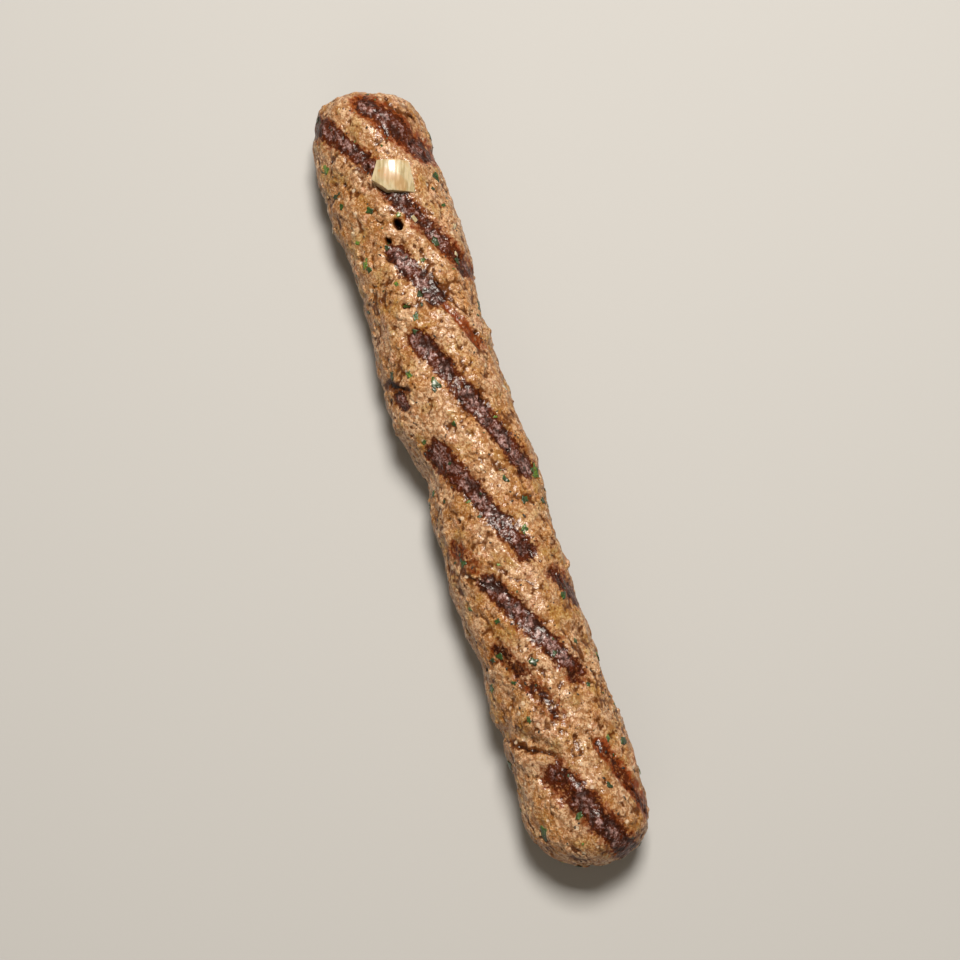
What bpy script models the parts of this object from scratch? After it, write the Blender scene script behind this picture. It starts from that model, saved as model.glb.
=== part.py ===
"""Kofta kebab, off its skewer: a long uneven log of grilled mince with one chunk of onion in its top.

Frame: +X runs along the log, +Z is up, and the origin is the middle of the footprint, on the flat underside.
Metres throughout. Every surface is worked out from the driving sizes below.
"""

import math
from dataclasses import dataclass

import bmesh
import bpy
from mathutils import Matrix, Vector, noise
from mathutils.bvhtree import BVHTree

MM = 0.001

# Driving sizes of the log.
LENGTH = 200 * MM
WIDTH = 31.5 * MM
HEIGHT = 25 * MM
FLAT_WIDTH = 15 * MM  # the strip that the log lies on
END_DEPTH = 15 * MM  # how much of each end is domed
FAR_BLUNTNESS, NEAR_BLUNTNESS = 3.0, 2.25  # of the -X and the +X end: 2 is an ellipse, more is squarer
END_SLANT = 0.13  # both ends lean the same way, as when a length is pressed off askew

# How finely the log is faceted.
ROUND_SIDES = 46
END_STEPS = 9
BODY_STEPS = 78

# The uneven hand-pressed surface.
LUMP_SIZE, LUMP_HEIGHT = 11 * MM, 0.9 * MM
PEBBLE_SIZE, PEBBLE_HEIGHT = 4.5 * MM, 0.7 * MM

# The onion chunk, a short piece of one thick onion layer.
ONION_WIDE = 11.0 * MM  # its longer edge, before the corner is cut off it
ONION_NARROW = 0.68  # its shorter edge, as a share of the longer
ONION_DEEP = 7.6 * MM
ONION_THICK = 2.8 * MM
ONION_CORNER = Vector((2.6 * MM, -3.0 * MM, 0))  # the middle of the slanted cut across one corner
ONION_CUT_FACES = Vector((0.84, -0.54, 0))
ONION_LAYER_RADIUS = 15 * MM
ONION_AT = Vector((-72.5 * MM, 1.8 * MM))
ONION_TURN = math.radians(-17)
ONION_TILT = math.radians(-7)
ONION_SUNK = 1.5 * MM  # how much of its thickness lies below the meat's surface
FIT_GAP = 0.35 * MM


@dataclass(frozen=True)
class Swell:
    """A hand-pressed bulge, or a finger dent where its height is negative."""

    along: float  # where it is along the log, from the middle
    around: float  # degrees round the log: 0 is +Y, 90 the top, 180 is -Y
    height: float
    reach: float  # how far it fades out, along the log
    spread: float = 42.0  # degrees that it fades out over, round the log


SWELLS = (
    Swell(-75 * MM, 180, 1.7 * MM, 15 * MM),
    Swell(-20 * MM, 180, 2.5 * MM, 14 * MM),
    Swell(3 * MM, 180, -2.2 * MM, 8 * MM),
    Swell(30 * MM, 180, 0.5 * MM, 11 * MM),
    Swell(50 * MM, 180, -1.0 * MM, 8 * MM),
    Swell(-64 * MM, 0, 0.9 * MM, 12 * MM),
    Swell(-36 * MM, 0, -1.4 * MM, 11 * MM),
    Swell(-19 * MM, 0, -0.9 * MM, 10 * MM),
    Swell(21 * MM, 0, -0.7 * MM, 9 * MM),
    Swell(73 * MM, 0, 1.3 * MM, 14 * MM),
    Swell(-52 * MM, 105, -1.1 * MM, 9 * MM),
    Swell(-25 * MM, 80, 0.7 * MM, 14 * MM),
    Swell(5 * MM, 120, -0.9 * MM, 9 * MM),
    Swell(38 * MM, 85, 0.6 * MM, 13 * MM),
    Swell(84 * MM, 130, -0.9 * MM, 10 * MM),
)


@dataclass(frozen=True)
class Crease:
    """A crack where two pressed lengths of meat meet: a narrow valley that runs partly round the log."""

    along: float  # where it starts, on the -Y side
    lean: float  # how far it moves along the log for each metre towards +Y
    depth: float
    half_width: float
    ends_at: float  # the y at which it has faded out


CREASE = Crease(66 * MM, 0.58, 1.5 * MM, 2.4 * MM, 2 * MM)

MEAT = {"colour": (0.27, 0.14, 0.07, 1), "roughness": 0.55}
ONION = {"colour": (0.72, 0.64, 0.42, 1), "roughness": 0.25}


def clear_scene():
    """Removes every object, so that the script can be run again."""
    for obj in list(bpy.data.objects):
        bpy.data.objects.remove(obj, do_unlink=True)


def material(name, colour, roughness):
    """A Principled material."""
    made = bpy.data.materials.new(name)
    made.use_nodes = True
    shader = made.node_tree.nodes["Principled BSDF"]
    shader.inputs["Base Color"].default_value = colour
    shader.inputs["Roughness"].default_value = roughness
    shader.inputs["Metallic"].default_value = 0.0
    return made


def node(name, bm, finish):
    """One named object that holds the shape, shaded smooth."""
    mesh = bpy.data.meshes.new(name)
    bm.to_mesh(mesh)
    bm.free()
    mesh.shade_smooth()
    mesh.set_sharp_from_angle(angle=math.radians(50))
    if finish:
        mesh.materials.append(finish)
    obj = bpy.data.objects.new(name, mesh)
    bpy.context.scene.collection.objects.link(obj)
    return obj


def smooth_step(low, high, value):
    """0 below low, 1 above high, and a smooth rise between."""
    share = max(0.0, min(1.0, (value - low) / (high - low)))
    return share * share * (3 - 2 * share)


def dome(bluntness):
    """A domed end's outline: (distance in from the tip, share of the full radius) at each step."""
    power = 2 / bluntness
    angles = [math.pi / 2 * step / END_STEPS for step in range(END_STEPS + 1)]
    return [(END_DEPTH * (1 - math.cos(a) ** power), math.sin(a) ** power) for a in angles]


def outline():
    """Half of the log's outline, end to end: (x, share of the full radius) at each step."""
    straight = LENGTH - 2 * END_DEPTH
    far = [(inset - LENGTH / 2, share) for inset, share in dome(FAR_BLUNTNESS)]
    body = [(straight * (step / BODY_STEPS - 0.5), 1.0) for step in range(1, BODY_STEPS)]
    near = [(LENGTH / 2 - inset, share) for inset, share in reversed(dome(NEAR_BLUNTNESS))]
    return far + body + near


def relief(at, angle):
    """How far the hand-pressed surface stands out of the plain log at this place."""
    height = 0.0
    for swell in SWELLS:
        off = (math.degrees(angle) - swell.around + 180) % 360 - 180
        far = ((at.x - swell.along) / swell.reach) ** 2 + (off / swell.spread) ** 2
        height += swell.height * math.exp(-far)
    height += LUMP_HEIGHT * noise.noise(at / LUMP_SIZE)
    height += PEBBLE_HEIGHT * noise.noise(at / PEBBLE_SIZE + Vector((7, 3, 5)))
    valley = CREASE.along + CREASE.lean * (at.y + WIDTH / 2)
    across = (at.x - valley) / CREASE.half_width
    fade = 1 - smooth_step(CREASE.ends_at - 7 * MM, CREASE.ends_at, at.y)
    return height - CREASE.depth * fade * math.exp(-across * across)


def press_by_hand(bm):
    """Gives the round blank the log's oval section, its slanted ends and its uneven surface."""
    half_width = WIDTH / 2
    # An oval whose chord at the cut is the flat strip, and whose height above it is the log's.
    cut_share = math.sqrt(1 - (FLAT_WIDTH / WIDTH) ** 2)
    half_height = HEIGHT / (1 + cut_share)
    for vert in bm.verts:
        share = math.hypot(vert.co.y, vert.co.z)
        angle = math.atan2(vert.co.z, vert.co.y)
        plain = Vector((vert.co.x, vert.co.y * half_width, vert.co.z * half_height))
        outward = Vector((0, math.cos(angle), math.sin(angle)))
        plain += outward * relief(plain, angle) * smooth_step(0, 0.6, share)
        plain.x += END_SLANT * plain.y
        vert.co = plain
    return half_height * cut_share


def bring_to_size(bm):
    """Scales the log to its driving sizes and stands it on the origin."""
    low = Vector(min(v.co[axis] for v in bm.verts) for axis in range(3))
    high = Vector(max(v.co[axis] for v in bm.verts) for axis in range(3))
    bmesh.ops.translate(bm, verts=bm.verts, vec=(-(low.x + high.x) / 2, -(low.y + high.y) / 2, -low.z))
    size = high - low
    bmesh.ops.scale(bm, verts=bm.verts, vec=(LENGTH / size.x, WIDTH / size.y, HEIGHT / size.z))


def kofta_log():
    """The meat, as one closed shape with a flat underside."""
    bm = bmesh.new()
    verts = [bm.verts.new((x, share, 0)) for x, share in outline()]
    edges = [bm.edges.new(pair) for pair in zip(verts, verts[1:])]
    bmesh.ops.spin(
        bm, geom=verts + edges, axis=(1, 0, 0), cent=(0, 0, 0),
        angle=2 * math.pi, steps=ROUND_SIDES, use_merge=True,
    )
    bmesh.ops.remove_doubles(bm, verts=bm.verts, dist=1e-6)
    floor = press_by_hand(bm)
    bmesh.ops.bisect_plane(
        bm, geom=bm.verts[:] + bm.edges[:] + bm.faces[:], dist=1e-6,
        plane_co=(0, 0, -floor), plane_no=(0, 0, -1), clear_outer=True,
    )
    rim = [edge for edge in bm.edges if edge.is_boundary]
    bmesh.ops.edgeloop_fill(bm, edges=rim)
    bmesh.ops.recalc_face_normals(bm, faces=bm.faces)
    bring_to_size(bm)
    return bm


def onion_place(bm):
    """Where the onion chunk lies: flat in the meat's top surface, turned and tilted a little."""
    tree = BVHTree.FromBMesh(bm)
    above = Vector((ONION_AT.x, ONION_AT.y, 2 * HEIGHT))
    surface, _, _, _ = tree.ray_cast(above, Vector((0, 0, -1)))
    lift = Vector((0, 0, ONION_THICK / 2 - ONION_SUNK))
    turn = Matrix.Rotation(ONION_TURN, 4, "Z") @ Matrix.Rotation(ONION_TILT, 4, "X")
    return Matrix.Translation(surface + lift) @ turn


def onion_piece(grown):
    """A piece of curved onion layer about its own middle, grown by a margin on every side.

    It is narrower towards -X, and has one corner cut off.
    """
    bm = bmesh.new()
    half_thick = ONION_THICK / 2 + grown
    half_deep = ONION_DEEP / 2 + grown
    inner, outer = ONION_LAYER_RADIUS - half_thick, ONION_LAYER_RADIUS + half_thick
    sweep = (ONION_WIDE + 2 * grown) / ONION_LAYER_RADIUS
    corners = ((-half_deep, inner), (-half_deep, outer), (half_deep, outer), (half_deep, inner))
    profile = [bm.verts.new((x, 0, radius)) for x, radius in corners]
    face = bm.faces.new(profile)
    turned = Matrix.Rotation(sweep / 2, 4, "X")
    bmesh.ops.transform(bm, matrix=turned, verts=bm.verts)
    bmesh.ops.spin(
        bm, geom=[face, *face.edges, *face.verts], axis=(1, 0, 0), cent=(0, 0, 0),
        angle=-sweep, steps=8,
    )
    bmesh.ops.remove_doubles(bm, verts=bm.verts, dist=1e-7)
    for vert in bm.verts:
        along = (vert.co.x + half_deep) / (2 * half_deep)
        vert.co.y *= ONION_NARROW + (1 - ONION_NARROW) * along
        vert.co.z -= ONION_LAYER_RADIUS
    cut = ONION_CUT_FACES.normalized()
    bmesh.ops.bisect_plane(
        bm, geom=bm.verts[:] + bm.edges[:] + bm.faces[:], dist=1e-7,
        plane_co=ONION_CORNER + cut * grown, plane_no=cut, clear_outer=True,
    )
    bmesh.ops.edgeloop_fill(bm, edges=[edge for edge in bm.edges if edge.is_boundary])
    bmesh.ops.recalc_face_normals(bm, faces=bm.faces)
    return bm


def main():
    """Builds the two solids: the meat, with a pocket, and the onion chunk in it."""
    clear_scene()
    log_shape = kofta_log()
    place = onion_place(log_shape)
    log = node("kofta_log", log_shape, material("meat", **MEAT))

    chunk_shape = onion_piece(0)
    bmesh.ops.bevel(
        chunk_shape, geom=chunk_shape.edges[:], offset=0.35 * MM, offset_type="OFFSET",
        segments=1, profile=0.5, affect="EDGES", material=-1, clamp_overlap=True,
    )
    chunk = node("onion_chunk", chunk_shape, material("onion", **ONION))
    chunk.matrix_world = place

    cutter = node("onion_pocket_cutter", onion_piece(FIT_GAP), None)
    cutter.matrix_world = place
    cutter.hide_render = True
    cutter.display_type = "WIRE"
    pocket = log.modifiers.new("onion_pocket", "BOOLEAN")
    pocket.operation = "DIFFERENCE"
    pocket.solver = "EXACT"
    pocket.object = cutter


main()
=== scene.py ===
"""A grilled kofta kebab off its skewer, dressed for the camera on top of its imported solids.

Everything is in metres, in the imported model's own frame: +X runs along the log, +Z is up, the floor is z = 0.
"""

import logging
import math
from dataclasses import dataclass, field
from enum import Enum

import bmesh
import bpy
import numpy as np
from mathutils import Matrix, Vector, noise
from mathutils.bvhtree import BVHTree
from mathutils.kdtree import KDTree


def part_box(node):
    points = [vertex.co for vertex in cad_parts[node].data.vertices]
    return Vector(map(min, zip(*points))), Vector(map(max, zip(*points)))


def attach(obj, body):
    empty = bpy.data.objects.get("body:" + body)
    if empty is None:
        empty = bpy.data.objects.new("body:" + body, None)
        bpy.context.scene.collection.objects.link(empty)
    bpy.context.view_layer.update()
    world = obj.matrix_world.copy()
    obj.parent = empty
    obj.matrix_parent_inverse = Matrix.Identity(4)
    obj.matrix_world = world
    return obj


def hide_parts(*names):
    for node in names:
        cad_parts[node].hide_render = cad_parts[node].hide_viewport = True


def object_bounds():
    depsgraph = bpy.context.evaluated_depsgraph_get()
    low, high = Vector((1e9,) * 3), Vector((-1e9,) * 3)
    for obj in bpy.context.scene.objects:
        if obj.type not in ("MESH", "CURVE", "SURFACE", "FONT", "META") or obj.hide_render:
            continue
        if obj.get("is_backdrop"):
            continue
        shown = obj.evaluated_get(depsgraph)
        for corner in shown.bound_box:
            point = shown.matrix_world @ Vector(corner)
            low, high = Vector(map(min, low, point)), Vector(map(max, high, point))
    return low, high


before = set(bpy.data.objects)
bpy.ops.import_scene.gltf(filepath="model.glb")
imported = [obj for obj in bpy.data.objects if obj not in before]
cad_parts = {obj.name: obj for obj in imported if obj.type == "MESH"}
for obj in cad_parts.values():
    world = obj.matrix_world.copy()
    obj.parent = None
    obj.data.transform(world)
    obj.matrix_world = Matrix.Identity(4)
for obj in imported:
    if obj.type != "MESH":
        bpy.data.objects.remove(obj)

MM = 0.001
REPORT = logging.getLogger("kofta")

Colour = tuple[float, float, float, float]
Socket = bpy.types.NodeSocket


class Slot(Enum):
    """The record's material slots."""

    MEAT = "meat"
    ONION = "onion"


class Field(Enum):
    """What the grill and the mincer left on each point of the meat, and the shade painted into its crevices, as
    a mesh attribute.
    """

    CHAR = "char"
    CARAMEL = "caramel"
    # Painted shade: how dark to paint each point in the crevices, cracks and pits.
    CREVICE_SHADE = "crevice_shade"
    TINT = "tint"
    SPARK = "spark"


# ---------------------------------------------------------------- numbers


def smooth_step(low: float, high: float, value: np.ndarray) -> np.ndarray:
    """0 below low, 1 above high, and a smooth rise between.

    Args:
        low: where the rise starts.
        high: where it ends.
        value: the numbers to map.

    Returns:
        The mapped numbers, from 0 to 1.
    """
    share = np.clip((value - low) / (high - low), 0.0, 1.0)
    return share * share * (3 - 2 * share)


def noise_at(points: np.ndarray, size: float, seed: float) -> np.ndarray:
    """Smooth noise from about -1 to 1.

    Args:
        points: where to read it, one row each.
        size: the size of its features.
        seed: moves the pattern, so that no two are alike.

    Returns:
        One number for each point.
    """
    shift = Vector((seed * 3.7, seed * 1.3, seed * 7.1))
    scaled = points / size
    return np.fromiter((noise.noise(Vector(p) + shift) for p in scaled), float, len(points))


# ---------------------------------------------------------------- meshes


def points_of(mesh: bpy.types.Mesh) -> np.ndarray:
    """The mesh's vertices, one row each.

    Args:
        mesh: the mesh to read.

    Returns:
        The points.
    """
    flat = np.empty(len(mesh.vertices) * 3)
    mesh.vertices.foreach_get("co", flat)
    return flat.reshape(-1, 3)


def normals_of(mesh: bpy.types.Mesh) -> np.ndarray:
    """The mesh's vertex normals, one row each.

    Args:
        mesh: the mesh to read.

    Returns:
        The normals, each of length 1.
    """
    flat = np.empty(len(mesh.vertices) * 3, np.float32)
    mesh.vertex_normals.foreach_get("vector", flat)
    return flat.reshape(-1, 3).astype(float)


def place_points(mesh: bpy.types.Mesh, points: np.ndarray) -> None:
    """Moves every vertex of the mesh to its row of points."""
    mesh.vertices.foreach_set("co", points.astype(np.float32).ravel())
    mesh.update()


def shares_of(mesh: bpy.types.Mesh) -> np.ndarray:
    """The share of the mesh's surface that lies round each vertex.

    Args:
        mesh: the mesh to read.

    Returns:
        One share for each vertex, adding up to 1.
    """
    areas, sizes = np.empty(len(mesh.polygons)), np.empty(len(mesh.polygons), int)
    corners = np.empty(len(mesh.loops), int)
    mesh.polygons.foreach_get("area", areas)
    mesh.polygons.foreach_get("loop_total", sizes)
    mesh.loops.foreach_get("vertex_index", corners)
    held = np.bincount(corners, np.repeat(areas / sizes, sizes), len(mesh.vertices))
    return held / held.sum()


def tree_of(points: np.ndarray) -> KDTree:
    """The points, ready to be searched.

    Args:
        points: the points, one row each.

    Returns:
        The search tree, which knows each by its row.
    """
    tree = KDTree(len(points))
    for index, point in enumerate(points):
        tree.insert(point, index)
    tree.balance()
    return tree


def write_field(mesh: bpy.types.Mesh, name: Field, values: np.ndarray) -> None:
    """Stores one number for each vertex under the field's name."""
    stored = mesh.attributes.new(name.value, "FLOAT", "POINT")
    stored.data.foreach_set("value", values.astype(np.float32))


def mesh_from(bm: bmesh.types.BMesh, name: str) -> bpy.types.Mesh:
    """Ends a bmesh: turns its faces outwards and makes it a smooth mesh.

    Args:
        bm: the shape, which is freed.
        name: the mesh's name.

    Returns:
        The new mesh.
    """
    bmesh.ops.recalc_face_normals(bm, faces=bm.faces)
    mesh = bpy.data.meshes.new(name)
    bm.to_mesh(mesh)
    bm.free()
    mesh.shade_smooth()
    return mesh


def piece(
    mesh: bpy.types.Mesh, finish: bpy.types.Material, stands_for: tuple[str, ...] = ()
) -> None:
    """Makes a mesh a piece of the kofta, riding on its one body.

    Args:
        mesh: the finished shape, in place.
        finish: its material.
        stands_for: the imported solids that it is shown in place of.
    """
    mesh.materials.append(finish)
    made = bpy.data.objects.new(mesh.name, mesh)
    bpy.context.scene.collection.objects.link(made)
    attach(made, "root")
    if stands_for:
        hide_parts(*stands_for)
    REPORT.info("%s: %d faces", mesh.name, len(mesh.polygons))


class Heap:
    """Many small shapes gathered into one mesh."""

    def __init__(self) -> None:
        """Starts empty."""
        self.bm = bmesh.new()

    def add(self, shape: bmesh.types.BMesh, place: Matrix | None = None) -> None:
        """Puts a small shape in the heap, and frees it.

        Args:
            shape: the small shape.
            place: where it goes, if it isn't in place yet.
        """
        one = bpy.data.meshes.new("one")
        shape.to_mesh(one)
        shape.free()
        self.add_copy(one, place or Matrix.Identity(4))
        bpy.data.meshes.remove(one)

    def add_copy(self, mesh: bpy.types.Mesh, place: Matrix) -> None:
        """Puts a copy of a mesh in the heap, at its place.

        Args:
            mesh: the shape, which is left as it is.
            place: where the copy goes.
        """
        copy = mesh.copy()
        copy.transform(place)
        self.bm.from_mesh(copy)
        bpy.data.meshes.remove(copy)


def ball(fineness: int) -> bpy.types.Mesh:
    """A plain ball of radius 1, to be copied into a heap.

    Args:
        fineness: how finely its faces are split.

    Returns:
        The new mesh.
    """
    bm = bmesh.new()
    bmesh.ops.create_icosphere(bm, subdivisions=fineness, radius=1.0)
    return mesh_from(bm, "ball")


# ---------------------------------------------------------------- shader wiring


class Wiring:
    """Adds nodes to one node tree and joins them."""

    def __init__(self, tree: bpy.types.NodeTree) -> None:
        """Starts on a tree."""
        self.tree = tree

    def add(
        self, kind: str, inputs: dict[str | int, object] | None = None, **settings: object
    ) -> bpy.types.Node:
        """Adds a node.

        Args:
            kind: the node's type, without its ShaderNode prefix.
            inputs: what each named input takes: a socket to join, or a value.
            settings: the node's own properties.

        Returns:
            The new node.
        """
        made = self.tree.nodes.new("ShaderNode" + kind)
        for name, value in settings.items():
            setattr(made, name, value)
        for name, value in (inputs or {}).items():
            self.feed(made.inputs[name], value)
        return made

    def feed(self, socket: Socket, value: object) -> None:
        """Joins a socket to the input, or sets the input's value.

        Args:
            socket: the input.
            value: the socket to join, or the value to set.
        """
        if isinstance(value, bpy.types.NodeSocket):
            self.tree.links.new(value, socket)
        else:
            socket.default_value = value

    def math(self, operation: str, a: object, b: object) -> Socket:
        """The result of a math operation on two numbers."""
        return self.add("Math", {0: a, 1: b}, operation=operation).outputs[0]

    def scaled(self, value: object, by: float, plus: float = 0.0) -> Socket:
        """A number multiplied, and then moved."""
        return self.add("Math", {0: value, 1: by, 2: plus}, operation="MULTIPLY_ADD").outputs[0]

    def blend(self, share: object, a: object, b: object) -> Socket:
        """The colour a part of the way, share, from a to b.

        Args:
            share: how far from a to b, from 0 to 1.
            a: the colour at 0.
            b: the colour at 1.

        Returns:
            The colour.
        """
        made = self.add("Mix", data_type="RGBA")
        self.feed(made.inputs["Factor"], share)
        self.feed(made.inputs[6], a)
        self.feed(made.inputs[7], b)
        return made.outputs[2]

    def between(self, value: object, low: float, high: float, start: float = 0.0, end: float = 1.0) -> Socket:
        """A smooth rise from start to end while the value goes from low to high.

        Args:
            value: the number to map.
            low: where the rise starts.
            high: where it ends, which may be below low.
            start: the result at low.
            end: the result at high.

        Returns:
            The mapped number.
        """
        made = self.add("MapRange", interpolation_type="SMOOTHSTEP")
        for socket, given in zip(made.inputs, (value, low, high, start, end)):
            self.feed(socket, given)
        return made.outputs[0]

    def grain(self, where: Socket, size: float, detail: float = 2.0, roughness: float = 0.5) -> Socket:
        """Noise from 0 to 1 whose features are about this size."""
        settings = {"Vector": where, "Scale": 1 / size, "Detail": detail, "Roughness": roughness}
        return self.add("TexNoise", settings).outputs["Fac"]

    def field(self, name: Field) -> Socket:
        """The number that the mesh stores under this field."""
        return self.add("Attribute", attribute_name=name.value).outputs["Fac"]


class Finish(Wiring):
    """A new material: the wiring of its shader, and the place on the piece that its patterns read."""

    def __init__(self, name: str) -> None:
        """Starts a material under its name.

        Args:
            name: the material's name.
        """
        self.material = bpy.data.materials.new(name)
        self.material.use_nodes = True
        super().__init__(self.material.node_tree)
        self.where = self.add("TexCoord").outputs["Object"]

    def laid(self, inputs: dict[str, object]) -> bpy.types.Material:
        """Gives the shader its inputs, each a socket or a constant, and returns the material.

        Args:
            inputs: each input's name, and what it takes: a socket to join, or a constant.

        Returns:
            The finished material.
        """
        shader = self.tree.nodes["Principled BSDF"]
        for name, value in inputs.items():
            self.feed(shader.inputs[name], value)
        return self.material


class Effect:
    """A node group, so that one effect can be used again with other settings."""

    def __init__(self, name: str, inputs: dict[str, str], outputs: dict[str, str]) -> None:
        """Makes the group with its named sockets.

        Args:
            name: the group's name.
            inputs: each input's name, and its kind of socket.
            outputs: each output's name, and its kind of socket.
        """
        self.tree = bpy.data.node_groups.new(name, "ShaderNodeTree")
        for direction, sockets in (("INPUT", inputs), ("OUTPUT", outputs)):
            for socket, kind in sockets.items():
                self.tree.interface.new_socket(socket, in_out=direction, socket_type="NodeSocket" + kind)
        self.wiring = Wiring(self.tree)
        self.given = self.tree.nodes.new("NodeGroupInput").outputs
        self.result = self.tree.nodes.new("NodeGroupOutput").inputs

    def put(self, name: str, value: Socket) -> None:
        """Sends a socket out of the group under this name."""
        self.tree.links.new(value, self.result[name])

    def used_in(self, wiring: Wiring, inputs: dict[str, object]) -> bpy.types.NodeOutputs:
        """Places the group in a material and returns its outputs.

        Args:
            wiring: the material's wiring.
            inputs: each input's name, and what it takes.

        Returns:
            The group's outputs, by name.
        """
        made = wiring.tree.nodes.new("ShaderNodeGroup")
        made.node_tree = self.tree
        for name, value in inputs.items():
            wiring.feed(made.inputs[name], value)
        return made.outputs


def speck_effect() -> Effect:
    """Round specks of one size, of which only a share is there.

    Returns:
        The group.
    """
    inputs = {"Where": "Vector", "Scale": "Float", "Share": "Float", "Radius": "Float"}
    effect = Effect("specks", inputs, {"Mask": "Float"})
    w, given = effect.wiring, effect.given
    cells = w.add("TexVoronoi", {"Vector": given["Where"], "Scale": given["Scale"]})
    chance = w.add("SeparateColor", {0: cells.outputs["Color"]}).outputs[0]
    picked = w.math("LESS_THAN", chance, given["Share"])
    edge = w.math("DIVIDE", w.math("SUBTRACT", given["Radius"], cells.outputs["Distance"]), given["Radius"])
    effect.put("Mask", w.math("MULTIPLY", picked, w.between(edge, 0.0, 0.45)))
    return effect


def crumb_effect() -> Effect:
    """The finest relief of cooked mince: crumbs of two sizes in a wrinkled skin, with hollows between, and a
    mask of the hollows for painting shade into them.

    Returns:
        The group.
    """
    inputs, outputs = {"Where": "Vector", "Size": "Float"}, {"Height": "Float", "Hollow_shade": "Float"}
    effect = Effect("mince crumb", inputs, outputs)
    w, given = effect.wiring, effect.given
    warp = w.add("TexNoise", {"Vector": given["Where"], "Scale": 800.0, "Detail": 3.0, "Roughness": 0.6})
    middle = (0.5, 0.5, 0.5)
    bend = w.add("VectorMath", {0: warp.outputs["Color"], 1: middle}, operation="SUBTRACT").outputs[0]
    bend = w.add("VectorMath", {0: bend, "Scale": 1.6 * MM}, operation="SCALE").outputs[0]
    bent = w.add("VectorMath", {0: given["Where"], 1: bend}, operation="ADD").outputs[0]
    scale = w.math("DIVIDE", 1.0, given["Size"])
    coarse = w.add("TexVoronoi", {"Vector": bent, "Scale": scale}).outputs["Distance"]
    fine = w.add("TexVoronoi", {"Vector": bent, "Scale": w.math("MULTIPLY", scale, 2.2)}).outputs["Distance"]
    wrinkles = {"Vector": bent, "Scale": w.math("MULTIPLY", scale, 1.3), "Detail": 4.0, "Roughness": 0.6}
    skin = w.add("TexNoise", wrinkles).outputs["Fac"]
    height = w.scaled(coarse, -1.0, 1.0)
    height = w.math("ADD", height, w.scaled(fine, -0.42))
    height = w.math("ADD", height, w.scaled(skin, 0.9, -0.45))
    effect.put("Height", height)
    # A mask of the low places between the crumbs, where shade is painted into the colour.
    effect.put("Hollow_shade", w.between(height, 0.42, 0.05))
    return effect


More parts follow.
